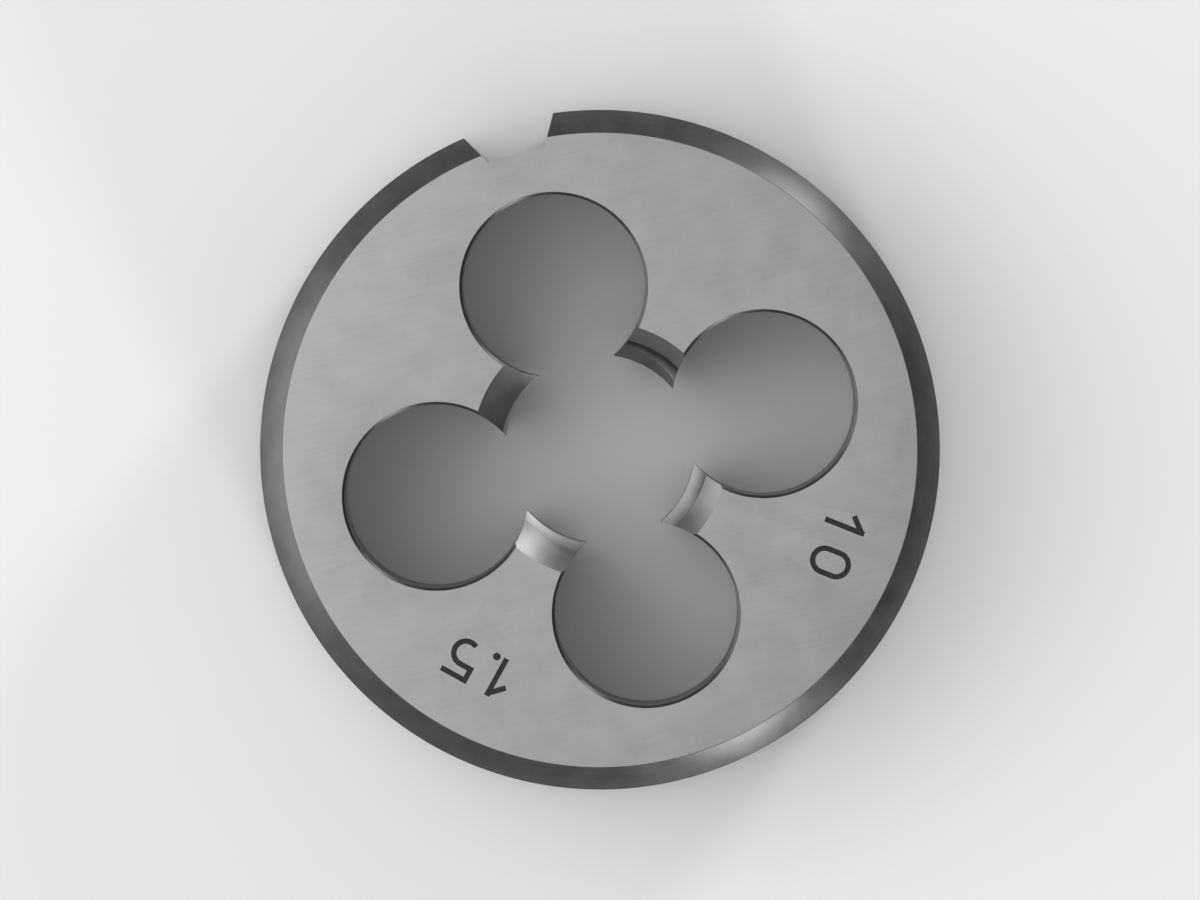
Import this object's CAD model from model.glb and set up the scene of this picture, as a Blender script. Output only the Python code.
"""A round threading die of ground steel, lying on its lower face on a pale bench top.

One Geometry Nodes tree turns, drills and threads the die in millimetres and then brings it to
the frame's metres. Angles round the rim are in degrees, anticlockwise from the notch, which
faces +Y.
"""

from math import cos, pi, radians, sin, tan

import bpy
from mathutils import Matrix, Vector


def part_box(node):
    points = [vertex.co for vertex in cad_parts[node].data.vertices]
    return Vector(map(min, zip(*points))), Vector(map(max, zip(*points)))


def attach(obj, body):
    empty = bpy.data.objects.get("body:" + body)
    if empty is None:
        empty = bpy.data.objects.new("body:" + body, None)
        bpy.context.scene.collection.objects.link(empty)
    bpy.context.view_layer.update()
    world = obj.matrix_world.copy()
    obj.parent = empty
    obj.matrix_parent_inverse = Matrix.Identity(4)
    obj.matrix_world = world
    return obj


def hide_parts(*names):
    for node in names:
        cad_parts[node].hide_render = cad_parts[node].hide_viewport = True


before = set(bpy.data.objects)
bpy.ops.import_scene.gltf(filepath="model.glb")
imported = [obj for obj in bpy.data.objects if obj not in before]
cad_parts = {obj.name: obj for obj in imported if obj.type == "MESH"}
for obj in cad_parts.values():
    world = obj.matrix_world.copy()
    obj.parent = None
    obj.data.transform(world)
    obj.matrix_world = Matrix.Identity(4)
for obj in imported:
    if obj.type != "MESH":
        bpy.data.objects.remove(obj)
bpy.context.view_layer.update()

MM = 0.001

# The blank
blank_low, blank_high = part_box("die_body")
thickness = (blank_high[2] - blank_low[2]) / MM
rim_radius = (blank_high[0] - blank_low[0]) / 2 / MM
rim_chamfer = 1.0
rim_rounding = 0.1
face_radius = rim_radius - rim_chamfer

# Thread
root_radius = 5.0
thread_pitch = 1.5
flank_angle = 60  # between the two sides of the groove
flank_slope = tan(radians(flank_angle / 2))
root_width = thread_pitch / 8
mouth_width = thread_pitch * 3 / 4
crest_radius = root_radius - (mouth_width - root_width) / (2 * flank_slope)
thread_start_angle = 95  # from +X, where the groove's middle passes the lower face

# Lead cones, which slope 45 degrees
lead_mouth_margin = 0.65
lead_mouth_radius = root_radius + lead_mouth_margin
lead_length = lead_mouth_radius - crest_radius

# Chip holes
chip_hole_count = 4
chip_hole_radius = 4.05
chip_hole_bite = 0.74
chip_hole_circle_radius = crest_radius - chip_hole_bite + chip_hole_radius
edge_break = 0.12

# Notch
notch_depth = 1.45
notch_floor_width = 2.6
notch_angle = 60
notch_slope = tan(radians(notch_angle / 2))

# Dimples: the angle of each, and how far its axis stands off the radius there
dimple_radius = 2.5
dimple_places = ((45, 1.0), (-45, -1.0), (135, 0.0), (-135, 0.0))

# Etched numbers
digit_height = 1.85
digit_width = 1.3
digit_pitch = 1.7
stroke_width = 0.24
etch_depth = 0.08
flag_length = 0.5
flag_spare = 0.35 * stroke_width  # how far the flag stops short of the stem's head
point_radius = 0.17
diameter_mark = (-127.5, 1.8)  # angle, and gap from the digits' heads to the rim's chamfer
pitch_mark = (135.3, 2.1)

# How far a cutter runs on past the surface it leaves by
overrun = 0.2

# How finely round shapes are divided
rim_facets = 288
thread_facets = 96  # in one turn
hole_facets = 128  # of a chip hole or a dimple
dimple_rings = 16  # from a dimple's mouth to its point, so that its slope is shaded truly
zero_facets = 64
zero_corner_facets = 12
bowl_facets = 32
point_facets = 32

# How far a face of the blank looks up or down, from 0 for a wall to 1 for a flat one
wall_limit = 0.05
flat_limit = 0.99
chamfer_limits = (0.69, 0.72)  # either side of 45 degrees

crisp_angle = 12  # between two faces, past which their edge isn't shaded smooth

# What each face of the finished die is, by the cutter that leaves it
FACE, RIM, CHAMFER, EDGE, LEAD, THREAD, HOLE, NOTCH, DIMPLE, ETCHED = range(10)
FINISH = "finish"


class Wire:
    """A socket of a node tree. Arithmetic on it adds Math nodes."""

    def __init__(self, graph, socket):
        self.graph = graph
        self.socket = socket

    def math(self, operation, *values):
        return self.graph.node("ShaderNodeMath", {"operation": operation}, dict(enumerate(values)))

    def __add__(self, other):
        return self.math("ADD", self, other)

    __radd__ = __add__

    def __sub__(self, other):
        return self.math("SUBTRACT", self, other)

    def __rsub__(self, other):
        return self.math("SUBTRACT", other, self)

    def __mul__(self, other):
        return self.math("MULTIPLY", self, other)

    __rmul__ = __mul__

    def __truediv__(self, other):
        return self.math("DIVIDE", self, other)

    def __rtruediv__(self, other):
        return self.math("DIVIDE", other, self)

    def __neg__(self):
        return self.math("MULTIPLY", self, -1.0)

    def __abs__(self):
        return self.math("ABSOLUTE", self)

    def __gt__(self, other):
        return self.math("GREATER_THAN", self, other)

    def __lt__(self, other):
        return self.math("LESS_THAN", self, other)


class Graph:
    """A node tree, and the one way that nodes are added to it."""

    def __init__(self, tree):
        self.tree = tree
        self.sizes = {}

    def node(self, kind, settings=None, sockets=None, output=0):
        """Adds a node: first its settings, then the values or links of its sockets."""
        made = self.tree.nodes.new(kind)
        for name, value in (settings or {}).items():
            if name == "stops":
                set_stops(made.color_ramp, value)
            else:
                setattr(made, name, value)
        for name, value in (sockets or {}).items():
            for item in value if isinstance(value, list) else [value]:
                if isinstance(item, Wire):
                    self.tree.links.new(item.socket, made.inputs[name])
                else:
                    made.inputs[name].default_value = item
        return Wire(self, made.outputs[output]) if made.outputs else None

    def size(self, name, value, kind="NodeSocketFloat"):
        """A named input of the tree, with the value that the modifier is to give it."""
        socket = self.tree.interface.new_socket(name, in_out="INPUT", socket_type=kind)
        self.sizes[socket.identifier] = value
        return self.node("NodeGroupInput", output=name)

    def vector(self, x=0.0, y=0.0, z=0.0):
        """A vector of three numbers or sockets."""
        return self.node("ShaderNodeCombineXYZ", {}, {"X": x, "Y": y, "Z": z})


def set_stops(ramp, stops):
    """Gives a colour ramp its stops, each a place and a colour."""
    while len(ramp.elements) < len(stops):
        ramp.elements.new(1.0)
    for element, (place, colour) in zip(ramp.elements, stops):
        element.position = place
        element.color = colour


def axis_distance(graph, place):
    """How far a place is from the die's axis."""
    flat = graph.node("ShaderNodeVectorMath", {"operation": "MULTIPLY"}, {0: place, 1: (1, 1, 0)})
    return graph.node("ShaderNodeVectorMath", {"operation": "LENGTH"}, {0: flat}, output="Value")


# Cutters and the die


def marked(graph, geometry, finish):
    """Writes on a cutter's faces the finish that they leave on the die."""
    settings = {"data_type": "INT", "domain": "FACE"}
    sockets = {"Geometry": geometry, "Name": FINISH, "Value": finish}
    return graph.node("GeometryNodeStoreNamedAttribute", settings, sockets)


def moved(graph, geometry, place, turn=(0.0, 0.0, 0.0)):
    """Turns a shape and then moves it."""
    sockets = {"Geometry": geometry, "Translation": place, "Rotation": turn}
    return graph.node("GeometryNodeTransform", {}, sockets)


def swept(graph, path, section, closed=False):
    """A section carried along a path, with caps unless the path is closed."""
    sockets = {"Curve": path, "Profile Curve": section, "Fill Caps": not closed}
    return graph.node("GeometryNodeCurveToMesh", {}, sockets)


def cut(graph, body, cutters):
    """Takes the cutters away from a body."""
    settings = {"operation": "DIFFERENCE", "solver": "MANIFOLD"}
    return graph.node("GeometryNodeMeshBoolean", settings, {"Mesh 1": body, "Mesh 2": cutters})


def from_both_faces(graph, cutter, height):
    """A cutter that stands on the lower face, and its copy let into the upper one."""
    lower = moved(graph, cutter, (0.0, 0.0, -overrun))
    upper = moved(graph, cutter, graph.vector(z=height + overrun), (pi, 0.0, 0.0))
    return [lower, upper]


def ring_of(graph, cutter, count, radius):
    """A cutter repeated round the axis, the first in line with the notch."""
    circle = graph.node("GeometryNodeMeshCircle", {}, {"Vertices": count, "Radius": radius})
    circle = moved(graph, circle, (0.0, 0.0, 0.0), (0.0, 0.0, pi / 2))
    sockets = {"Points": circle, "Instance": cutter}
    copies = graph.node("GeometryNodeInstanceOnPoints", {}, sockets)
    return graph.node("GeometryNodeRealizeInstances", {}, {"Geometry": copies})


def bored_blank(graph, sizes):
    """The disc, bored to the thread's crest, its rim bevelled and the bevel's edges rounded."""
    middle_radius = (sizes["Rim radius"] + sizes["Crest radius"]) / 2
    wall = sizes["Rim radius"] - sizes["Crest radius"]
    section = graph.node(
        "GeometryNodeCurvePrimitiveQuadrilateral",
        {"mode": "RECTANGLE"},
        {"Width": wall, "Height": sizes["Thickness"]},
    )
    for count, radius in ((1, "Rim chamfer"), (3, "Rim rounding")):
        place = graph.node("GeometryNodeInputPosition")
        across = graph.node("ShaderNodeSeparateXYZ", {}, {"Vector": place})
        section = graph.node(
            "GeometryNodeFilletCurve",
            {"mode": "POLY"},
            {"Curve": section, "Count": count, "Radius": (across > 0.0) * sizes[radius]},
        )
    sockets = {"Resolution": sizes["Rim facets"], "Radius": middle_radius}
    path = graph.node("GeometryNodeCurvePrimitiveCircle", {"mode": "RADIUS"}, sockets)
    disc = swept(graph, path, section, closed=True)
    disc = moved(graph, disc, graph.vector(z=sizes["Thickness"] / 2))
    return marked(graph, disc, blank_finish(graph, middle_radius))


def blank_finish(graph, middle_radius):
    """Which finish a face of the blank has, by the way it looks and where it is."""
    normal = graph.node("GeometryNodeInputNormal")
    upright = abs(graph.node("ShaderNodeSeparateXYZ", {}, {"Vector": normal}, output="Z"))
    radius = axis_distance(graph, graph.node("GeometryNodeInputPosition"))
    is_side = upright < wall_limit
    is_slope = (upright < flat_limit) * (1.0 - is_side)
    is_chamfer = (upright > chamfer_limits[0]) * (upright < chamfer_limits[1])
    is_rim = radius > middle_radius
    side = is_rim * (RIM - THREAD) + THREAD
    return is_side * side + is_slope * (is_chamfer * (CHAMFER - EDGE) + EDGE)


def thread_groove(graph, sizes):
    """The right-hand groove that a screw of the thread's full size leaves."""
    pitch = sizes["Thread pitch"]
    turns = sizes["Thickness"] / pitch + 2.0
    helix = graph.node(
        "GeometryNodeCurveSpiral",
        {},
        {
            "Resolution": sizes["Thread facets"],
            "Rotations": turns,
            "Start Radius": sizes["Root radius"],
            "End Radius": sizes["Root radius"],
            "Height": turns * pitch,
            "Reverse": True,
        },
    )
    helix = graph.node("GeometryNodeSetCurveNormal", {"mode": "Z_UP"}, {"Curve": helix})
    depth = sizes["Root radius"] - sizes["Crest radius"] + overrun
    half_root = sizes["Root width"] / 2
    half_mouth = sizes["Mouth width"] / 2 + overrun * flank_slope
    corners = {
        "Point 1": graph.vector(0.0, half_root),
        "Point 2": graph.vector(-depth, half_mouth),
        "Point 3": graph.vector(-depth, -half_mouth),
        "Point 4": graph.vector(0.0, -half_root),
    }
    profile = graph.node("GeometryNodeCurvePrimitiveQuadrilateral", {"mode": "POINTS"}, corners)
    turn = (0.0, 0.0, radians(thread_start_angle))
    groove = moved(graph, swept(graph, helix, profile), graph.vector(z=-pitch), turn)
    return marked(graph, groove, THREAD)


def lead_cones(graph, sizes):
    """The cones that let a screw blank into the thread at each face."""
    mouth, crest = sizes["Lead mouth radius"], sizes["Crest radius"]
    slope = (mouth - crest) / sizes["Lead length"]
    cone = graph.node(
        "GeometryNodeMeshCone",
        {"fill_type": "NGON"},
        {
            "Vertices": sizes["Rim facets"],
            "Radius Bottom": mouth + slope * overrun,
            "Radius Top": crest - slope * overrun,
            "Depth": sizes["Lead length"] + 2 * overrun,
        },
    )
    return from_both_faces(graph, marked(graph, cone, LEAD), sizes["Thickness"])


def chip_holes(graph, sizes):
    """The four holes that cut the thread into lands, and the broken edges at their mouths."""
    count, circle = sizes["Chip hole count"], sizes["Chip hole circle radius"]
    radius, height = sizes["Chip hole radius"], sizes["Thickness"]
    sockets = {"Vertices": hole_facets, "Radius": radius, "Depth": height + 2 * overrun}
    drill = graph.node("GeometryNodeMeshCylinder", {"fill_type": "NGON"}, sockets)
    drill = moved(graph, drill, graph.vector(z=height / 2))
    flare = graph.node(
        "GeometryNodeMeshCone",
        {"fill_type": "NGON"},
        {
            "Vertices": hole_facets,
            "Radius Bottom": radius + sizes["Edge break"] + overrun,
            "Radius Top": radius - overrun,
            "Depth": sizes["Edge break"] + 2 * overrun,
        },
    )
    flares = from_both_faces(graph, marked(graph, flare, EDGE), height)
    holes = [marked(graph, drill, HOLE)] + flares
    return [ring_of(graph, hole, count, circle) for hole in holes]


def rim_notch(graph, sizes):
    """The V notch with a flat floor, through the whole thickness."""
    floor_y = sizes["Rim radius"] - sizes["Notch depth"]
    outer_y = sizes["Rim radius"] + overrun
    half_floor = sizes["Notch floor width"] / 2
    half_mouth = half_floor + (outer_y - floor_y) * notch_slope
    corners = {
        "Point 1": graph.vector(half_floor, floor_y),
        "Point 2": graph.vector(half_mouth, outer_y),
        "Point 3": graph.vector(-half_mouth, outer_y),
        "Point 4": graph.vector(-half_floor, floor_y),
    }
    section = graph.node("GeometryNodeCurvePrimitiveQuadrilateral", {"mode": "POINTS"}, corners)
    section = graph.node("GeometryNodeFillCurve", {"mode": "NGONS"}, {"Curve": section})
    height = sizes["Thickness"] + 2 * overrun
    prism = graph.node(
        "GeometryNodeExtrudeMesh",
        {"mode": "FACES"},
        {"Mesh": section, "Offset Scale": height, "Individual": False},
    )
    base = graph.node("GeometryNodeFlipFaces", {}, {"Mesh": section})
    prism = graph.node("GeometryNodeJoinGeometry", {}, {"Geometry": [prism, base]})
    prism = graph.node("GeometryNodeMergeByDistance", {}, {"Geometry": prism})
    return marked(graph, moved(graph, prism, (0.0, 0.0, -overrun)), NOTCH)


def rim_dimple(graph, sizes, angle, offset):
    """A conical dimple for a set screw, its point inside the rim."""
    radius = sizes["Dimple radius"]
    cone = graph.node(
        "GeometryNodeMeshCone",
        {"fill_type": "NGON"},
        {
            "Vertices": hole_facets,
            "Side Segments": dimple_rings,
            "Radius Bottom": radius + overrun,
            "Radius Top": 0.0,
            "Depth": radius + overrun,
        },
    )
    place = graph.vector(-offset, sizes["Rim radius"] + overrun, sizes["Thickness"] / 2)
    cone = moved(graph, cone, place, (pi / 2, 0.0, 0.0))
    cone = moved(graph, cone, (0.0, 0.0, 0.0), (0.0, 0.0, radians(angle)))
    return marked(graph, cone, DIMPLE)


# Etched numbers, drawn round the origin with their heads towards +Y


def stroke(graph, path, closed=False):
    """An etched line along a path: a square-edged groove that reaches down from the face."""
    sockets = {"Width": stroke_width, "Height": 2 * etch_depth}
    section = graph.node("GeometryNodeCurvePrimitiveQuadrilateral", {"mode": "RECTANGLE"}, sockets)
    path = graph.node("GeometryNodeSetCurveNormal", {"mode": "Z_UP"}, {"Curve": path})
    return swept(graph, path, section, closed)


def straight_stroke(graph, start, end):
    """A stroke between two points, half its width longer at each end."""
    start, end = Vector(start), Vector(end)
    spare = (end - start).normalized() * stroke_width / 2
    sockets = {"Start": (*(start - spare), 0.0), "End": (*(end + spare), 0.0)}
    return stroke(graph, graph.node("GeometryNodeCurvePrimitiveLine", {}, sockets))


def digit_one(graph, x):
    """A stem, and a flag that runs up to its head at 45 degrees."""
    top = (digit_height - stroke_width) / 2
    flag_foot = (x - flag_length, top - flag_length)
    flag_head = (x - flag_spare, top - flag_spare)
    stem = straight_stroke(graph, (x, top), (x, -top))
    return [straight_stroke(graph, flag_foot, flag_head), stem]


def digit_zero(graph, x):
    """A loop with straight sides and round ends."""
    width = digit_width - stroke_width
    end_radius = width * 0.499  # a hair under half, so that the corners of an end don't meet
    sockets = {"Width": width, "Height": digit_height - stroke_width}
    loop = graph.node("GeometryNodeCurvePrimitiveQuadrilateral", {"mode": "RECTANGLE"}, sockets)
    sockets = {"Curve": loop, "Count": zero_corner_facets, "Radius": end_radius}
    loop = graph.node("GeometryNodeFilletCurve", {"mode": "POLY"}, sockets)
    loop = graph.node("GeometryNodeResampleCurve", {}, {"Curve": loop, "Count": zero_facets})
    return [stroke(graph, moved(graph, loop, (x, 0.0, 0.0)), closed=True)]


def digit_five(graph, x):
    """A bar, a short stem, a shoulder and a bowl."""
    top = (digit_height - stroke_width) / 2
    side = (digit_width - stroke_width) / 2
    shoulder = 2 * side - top
    sockets = {
        "Resolution": bowl_facets,
        "Radius": side,
        "Start Angle": pi / 2,
        "Sweep Angle": radians(-210),
    }
    bowl = graph.node("GeometryNodeCurveArc", {"mode": "RADIUS"}, sockets)
    bowl = moved(graph, bowl, (x, shoulder - side, 0.0))
    return [
        straight_stroke(graph, (x - side, top), (x + side, top)),
        straight_stroke(graph, (x - side, top), (x - side, shoulder)),
        straight_stroke(graph, (x - side, shoulder), (x, shoulder)),
        stroke(graph, bowl),
    ]


def decimal_point(graph, x):
    """A round dot on the base line."""
    sockets = {"Vertices": point_facets, "Radius": point_radius, "Depth": 2 * etch_depth}
    dot = graph.node("GeometryNodeMeshCylinder", {"fill_type": "NGON"}, sockets)
    return [moved(graph, dot, (x, (stroke_width - digit_height) / 2, 0.0))]


def etched_mark(graph, sizes, place, strokes):
    """Sets a mark's strokes on the upper face, to be read from the die's middle."""
    angle, rim_gap = place
    radius = face_radius - rim_gap - digit_height / 2
    cutters = []
    for cutter in strokes:
        cutter = moved(graph, cutter, graph.vector(0.0, radius, sizes["Thickness"]))
        cutter = moved(graph, cutter, (0.0, 0.0, 0.0), (0.0, 0.0, radians(angle)))
        cutters.append(marked(graph, cutter, ETCHED))
    return cutters


def die_sizes(graph):
    """The tree's named inputs."""
    lengths = {
        "Rim radius": rim_radius,
        "Thickness": thickness,
        "Rim chamfer": rim_chamfer,
        "Rim rounding": rim_rounding,
        "Root radius": root_radius,
        "Crest radius": crest_radius,
        "Thread pitch": thread_pitch,
        "Root width": root_width,
        "Mouth width": mouth_width,
        "Lead length": lead_length,
        "Lead mouth radius": lead_mouth_radius,
        "Chip hole radius": chip_hole_radius,
        "Chip hole circle radius": chip_hole_circle_radius,
        "Edge break": edge_break,
        "Notch depth": notch_depth,
        "Notch floor width": notch_floor_width,
        "Dimple radius": dimple_radius,
    }
    counts = {
        "Rim facets": rim_facets,
        "Thread facets": thread_facets,
        "Chip hole count": chip_hole_count,
    }
    sizes = {name: graph.size(name, value) for name, value in lengths.items()}
    for name, value in counts.items():
        sizes[name] = graph.size(name, value, "NodeSocketInt")
    return sizes


def die_cuts(graph, sizes):
    """The cuts in the order that they are made, each with its own list of cutters."""
    diameter = digit_one(graph, -digit_pitch / 2) + digit_zero(graph, digit_pitch / 2)
    pitch = digit_one(graph, -digit_pitch / 2) + digit_five(graph, digit_pitch / 2)
    pitch += decimal_point(graph, -digit_pitch / 4)
    cuts = [[thread_groove(graph, sizes)]]
    cuts += [[cone] for cone in lead_cones(graph, sizes)]
    cuts += [[hole] for hole in chip_holes(graph, sizes)]
    cuts += [[rim_notch(graph, sizes)]]
    cuts += [[rim_dimple(graph, sizes, *place)] for place in dimple_places]
    cuts += [etched_mark(graph, sizes, diameter_mark, diameter)]
    cuts += [etched_mark(graph, sizes, pitch_mark, pitch)]
    return cuts


def with_materials(graph, die, materials):
    """Gives every face the material of the finish that was written on it."""
    settings = {"data_type": "INT"}
    written = graph.node("GeometryNodeInputNamedAttribute", settings, {"Name": FINISH})
    sockets = {"Geometry": die, "Material": materials[FACE]}
    die = graph.node("GeometryNodeSetMaterial", {}, sockets)
    for finish in range(FACE + 1, len(materials)):
        settings = {"data_type": "INT", "operation": "EQUAL"}
        chosen = graph.node("FunctionNodeCompare", settings, {2: written, 3: finish})
        sockets = {"Geometry": die, "Selection": chosen, "Material": materials[finish]}
        die = graph.node("GeometryNodeSetMaterial", {}, sockets)
    return die


def die_tree(materials):
    """The whole die: the blank, its cuts one after another, and a material for each finish."""
    tree = bpy.data.node_groups.new("threading die", "GeometryNodeTree")
    tree.interface.new_socket("Die", in_out="OUTPUT", socket_type="NodeSocketGeometry")
    graph = Graph(tree)
    sizes = die_sizes(graph)
    die = bored_blank(graph, sizes)
    for cutters in die_cuts(graph, sizes):
        die = cut(graph, die, cutters)
    die = graph.node("GeometryNodeTransform", {}, {"Geometry": die, "Scale": (MM, MM, MM)})
    die = graph.node("GeometryNodeRealizeInstances", {}, {"Geometry": die})
    graph.node("NodeGroupOutput", {}, {"Die": with_materials(graph, die, materials)})
    return graph


def plain_mesh(name, graph):
    """Evaluates a tree on an empty object and keeps the result as an ordinary mesh object."""
    host = bpy.data.objects.new(name, bpy.data.meshes.new(name))
    bpy.context.scene.collection.objects.link(host)
    modifier = host.modifiers.new("tree", "NODES")
    modifier.node_group = graph.tree
    for identifier, value in graph.sizes.items():
        modifier[identifier] = value
    depsgraph = bpy.context.evaluated_depsgraph_get()
    mesh = bpy.data.meshes.new_from_object(host.evaluated_get(depsgraph))
    # The first slot is an empty one that the cuts leave
    mesh.materials.pop(index=0)
    host.modifiers.remove(modifier)
    host.data = mesh
    return host


# Materials: patterns are laid out in millimetres on Object coordinates


def new_material(name):
    """An empty material, and its graph."""
    material = bpy.data.materials.new(name)
    material.use_nodes = True
    material.node_tree.nodes.clear()
    return material, Graph(material.node_tree)


def die_place(graph, stretch=(1.0, 1.0, 1.0)):
    """The place on the die in millimetres, stretched along each axis."""
    place = graph.node("ShaderNodeTexCoord", output="Object")
    sockets = {"Vector": place, "Scale": tuple(factor / MM for factor in stretch)}
    return graph.node("ShaderNodeMapping", {}, sockets)


def turned_place(graph, fineness):
    """The place as a lathe sees it: only the radius and the height change the pattern."""
    place = die_place(graph)
    height = graph.node("ShaderNodeSeparateXYZ", {}, {"Vector": place}, output="Z")
    return graph.vector(axis_distance(graph, place) * fineness, height * fineness)


def noise(graph, place, scale, detail):
    """Soft random waves, each layer of detail half as wide as the last."""
    sockets = {"Vector": place, "Scale": scale, "Detail": detail}
    return graph.node("ShaderNodeTexNoise", {}, sockets)


def ramp(graph, value, low, high, dark, light):
    """A grey that runs from dark to light while the value runs from low to high."""
    stops = ((low, (*dark, 1.0)), (high, (*light, 1.0)))
    return graph.node("ShaderNodeValToRGB", {"stops": stops}, {"Fac": value})


def bare_steel(graph, colour, roughness, height, depth):
    """Ends a material as bare metal with the given relief, its depth in micrometres."""
    sockets = {"Height": height, "Distance": depth * MM * MM, "Strength": 1.0}
    normal = graph.node("ShaderNodeBump", {}, sockets)
    shader = graph.node(
        "ShaderNodeBsdfPrincipled",
        {},
        {"Base Color": colour, "Metallic": 1.0, "Roughness": roughness, "Normal": normal},
    )
    graph.node("ShaderNodeOutputMaterial", {}, {"Surface": shader})


def lined_steel(name, stretch, tones, roughness, depth):
    """Ground or milled steel: fine straight lines and a faint cloudiness."""
    material, graph = new_material(name)
    lines = noise(graph, die_place(graph, stretch), 1.0, detail=3.0)
    clouds = noise(graph, die_place(graph), 0.7, detail=5.0)
    colour = ramp(graph, lines * 0.35 + clouds * 0.65, 0.3, 0.7, *tones)
    bare_steel(graph, colour, clouds * 0.1 + lines * 0.08 + roughness, lines, depth)
    return material


def turned_steel(name, fineness, tones, roughness, depth):
    """Turned steel: fine rings round the axis and a faint cloudiness."""
    material, graph = new_material(name)
    rings = noise(graph, turned_place(graph, fineness), 1.0, detail=3.0)
    clouds = noise(graph, die_place(graph), 0.8, detail=4.0)
    colour = ramp(graph, rings * 0.35 + clouds * 0.65, 0.3, 0.7, *tones)
    bare_steel(graph, colour, clouds * 0.12 + rings * 0.08 + roughness, rings, depth)
    return material


def thread_steel():
    """Cut steel, bright at the crests and darker down in the groove."""
    material, graph = new_material("cut thread")
    place = die_place(graph)
    rings = noise(graph, turned_place(graph, 10.0), 1.0, detail=3.0)
    clouds = noise(graph, place, 0.8, detail=4.0)
    rise = (root_radius - axis_distance(graph, place)) / (root_radius - crest_radius)
    wear = rise * 0.6 + clouds * 0.3 + rings * 0.1
    colour = ramp(graph, wear, 0.25, 0.75, (0.035, 0.035, 0.037), (0.3, 0.3, 0.3))
    bare_steel(graph, colour, clouds * 0.12 + rings * 0.08 + 0.3, rings, 1.0)
    return material


def dimple_steel(tones):
    """Countersunk steel: rings round the point of each dimple."""
    material, graph = new_material("countersunk dimple")
    place = die_place(graph)
    nearest = 100.0  # farther than any dimple
    for angle, offset in dimple_places:
        turn = radians(angle)
        tip = Vector((-sin(turn), cos(turn), 0.0)) * (rim_radius - dimple_radius)
        tip += Vector((-cos(turn), -sin(turn), 0.0)) * offset
        sockets = {0: place, 1: (tip.x, tip.y, thickness / 2)}
        settings = {"operation": "DISTANCE"}
        distance = graph.node("ShaderNodeVectorMath", settings, sockets, output="Value")
        nearest = distance.math("MINIMUM", distance, nearest)
    rings = noise(graph, graph.vector(nearest * 9.0), 1.0, detail=3.0)
    clouds = noise(graph, place, 0.8, detail=4.0)
    colour = ramp(graph, rings * 0.5 + clouds * 0.5, 0.3, 0.7, *tones)
    bare_steel(graph, colour, rings * 0.15 + 0.3, rings, 2.5)
    return material


def etched_steel():
    """The dull dark floor that a marking laser leaves."""
    material, graph = new_material("laser-etched steel")
    grain = noise(graph, die_place(graph), 14.0, detail=3.0)
    colour = ramp(graph, grain, 0.35, 0.65, (0.035, 0.034, 0.033), (0.075, 0.072, 0.07))
    bare_steel(graph, colour, grain * 0.2 + 0.55, grain, 8.0)
    return material


def die_materials():
    """One material for each finish, in the order of the finishes.

    A pattern has a stretch or a fineness, then its tones, its least roughness and its depth.
    """
    ground = ((0.31, 0.31, 0.31), (0.37, 0.37, 0.366))
    dark = ((0.07, 0.07, 0.073), (0.11, 0.11, 0.11))
    middling = ((0.12, 0.12, 0.123), (0.18, 0.18, 0.18))
    pale = ((0.21, 0.21, 0.213), (0.28, 0.28, 0.28))
    return [
        lined_steel("ground face", (0.35, 9.0, 1.0), ground, 0.34, 0.5),
        lined_steel("ground rim", (0.3, 0.3, 8.0), ground, 0.28, 0.8),
        turned_steel("turned chamfer", 9.0, dark, 0.24, 1.5),
        turned_steel("broken edge", 9.0, dark, 0.25, 0.5),
        turned_steel("lead cone", 8.0, pale, 0.24, 1.0),
        thread_steel(),
        lined_steel("drilled wall", (0.3, 0.3, 5.0), pale, 0.35, 2.0),
        lined_steel("milled notch", (6.0, 6.0, 0.3), middling, 0.3, 1.5),
        dimple_steel(middling),
        etched_steel(),
    ]


def make_die():
    """The die as one mesh, which stands for the frame's node."""
    die = plain_mesh("threading_die", die_tree(die_materials()))
    die.data.shade_smooth()
    die.data.set_sharp_from_angle(angle=radians(crisp_angle))
    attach(die, "root")
    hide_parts("die_body")
    return die


# Bench, light and camera, in metres. The die lies turned by this much to the camera's view.

lie_angle = radians(15.8)
view_height = 1.2
view_width = 0.0529
view_offset = (0.0009, 0.0122)  # how far right and up of the die's middle the camera stands
bench_reach = 1.5


def across_bench(right, up, height=0.0):
    """A place in metres, from how far right and up it lies in the camera's view."""
    x = right * cos(lie_angle) + up * sin(lie_angle)
    y = up * cos(lie_angle) - right * sin(lie_angle)
    return Vector((x, y, height))


def make_bench():
    """A flat pale bench top under the die."""
    mesh = bpy.data.meshes.new("bench")
    signs = ((-1, -1), (1, -1), (1, 1), (-1, 1))
    corners = [(x * bench_reach, y * bench_reach, 0.0) for x, y in signs]
    mesh.from_pydata(corners, [], [(0, 1, 2, 3)])
    bench = bpy.data.objects.new("bench", mesh)
    bpy.context.scene.collection.objects.link(bench)
    material, graph = new_material("pale bench")
    sockets = {"Base Color": (0.78, 0.78, 0.77, 1.0), "Roughness": 0.7}
    shader = graph.node("ShaderNodeBsdfPrincipled", {}, sockets)
    graph.node("ShaderNodeOutputMaterial", {}, {"Surface": shader})
    mesh.materials.append(material)


def add_lamp(name, place, size, power):
    """A soft rectangular lamp that looks at the die's foot and isn't seen itself."""
    lamp = bpy.data.lights.new(name, "AREA")
    lamp.shape = "RECTANGLE"
    lamp.size, lamp.size_y = size
    lamp.energy = power
    item = bpy.data.objects.new(name, lamp)
    bpy.context.scene.collection.objects.link(item)
    item.location = place
    item.visible_camera = False
    item.rotation_euler = (-item.location).to_track_quat("-Z", "Y").to_euler()


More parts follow.
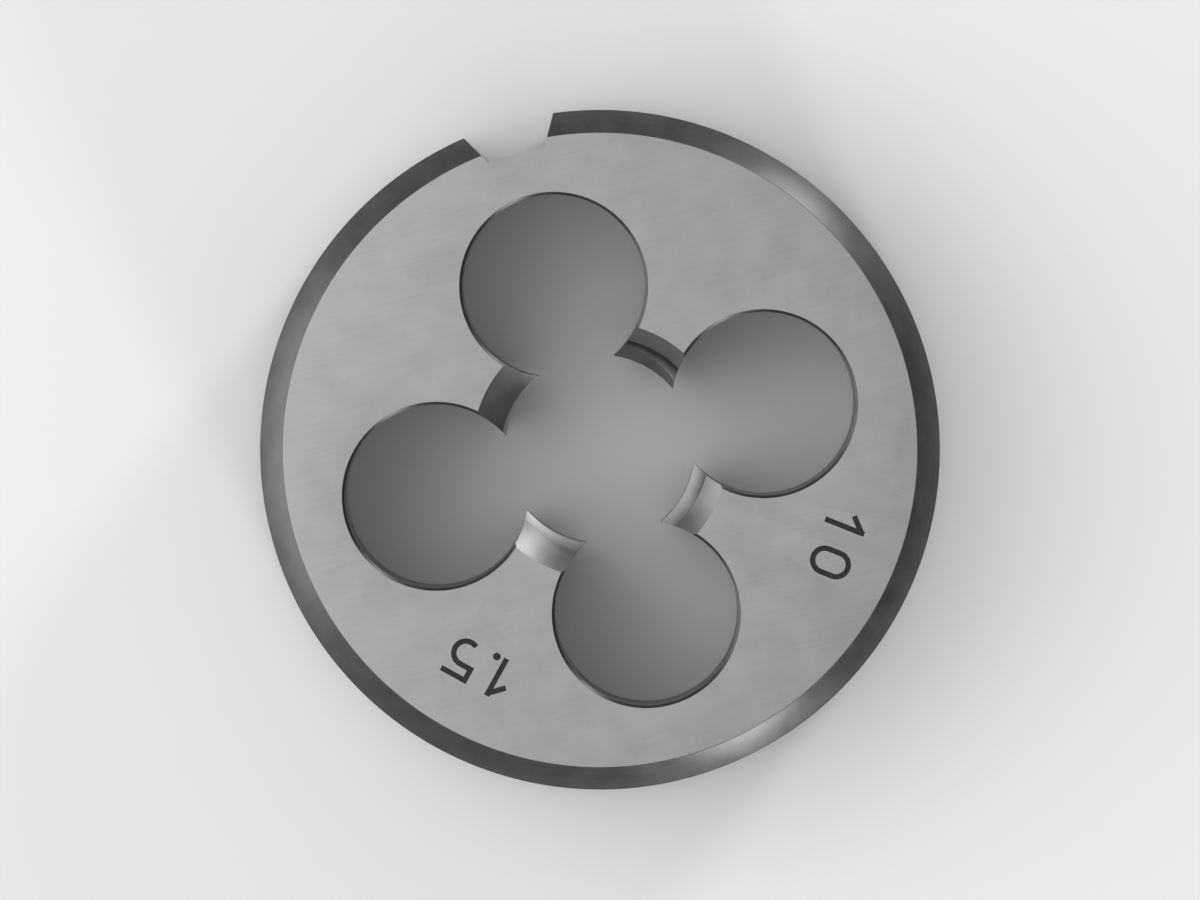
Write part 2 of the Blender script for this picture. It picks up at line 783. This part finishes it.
def studio_dome():
    """Soft light from all round, more of it from above and less from the right."""
    world = bpy.data.worlds.new("studio")
    world.use_nodes = True
    world.node_tree.nodes.clear()
    graph = Graph(world.node_tree)
    direction = graph.node("ShaderNodeTexCoord", output="Generated")
    rise = graph.node("ShaderNodeSeparateXYZ", {}, {"Vector": direction}, output="Z")
    settings = {"operation": "DOT_PRODUCT"}
    sockets = {0: direction, 1: tuple(across_bench(1.0, 0.0))}
    rightward = graph.node("ShaderNodeVectorMath", settings, sockets, output="Value")
    horizon = 0.5
    overhead_gain = 0.35
    right_loss = 0.25
    strength = rise * rise * overhead_gain + horizon - rightward * right_loss
    sockets = {"Color": (1.0, 1.0, 1.0, 1.0), "Strength": strength}
    sky = graph.node("ShaderNodeBackground", {}, sockets)
    graph.node("ShaderNodeOutputWorld", {}, {"Surface": sky})
    bpy.context.scene.world = world


def light_scene():
    """The dome and four lamps, placed as the camera sees the bench."""
    studio_dome()
    add_lamp("overhead light", across_bench(-0.19, 0.03, 0.3), (0.3, 0.3), 0.35)
    add_lamp("broad light", across_bench(-0.8, 0.0, 0.12), (0.95, 0.2), 2.0)
    add_lamp("upper light", across_bench(0.39, 0.485, 0.2), (0.12, 0.35), 1.5)
    add_lamp("lower light", across_bench(0.27, -0.53, 0.15), (0.12, 0.25), 1.4)


def add_camera():
    """Looks almost straight down at the die, from a little further up the bench."""
    lens = bpy.data.cameras.new("camera")
    lens.sensor_width = 36.0
    camera = bpy.data.objects.new("camera", lens)
    bpy.context.scene.collection.objects.link(camera)
    target = Vector((0.0, 0.0, thickness * MM))
    camera.location = across_bench(*view_offset, view_height)
    lens.lens = lens.sensor_width * (view_height - target.z) / view_width
    backward = (camera.location - target).normalized()
    right = across_bench(0.0, 1.0).cross(backward).normalized()
    up = backward.cross(right)
    camera.rotation_euler = Matrix((right, up, backward)).transposed().to_euler()
    bpy.context.scene.camera = camera


make_die()
make_bench()
light_scene()
add_camera()
bpy.context.scene.view_settings.view_transform = "Standard"
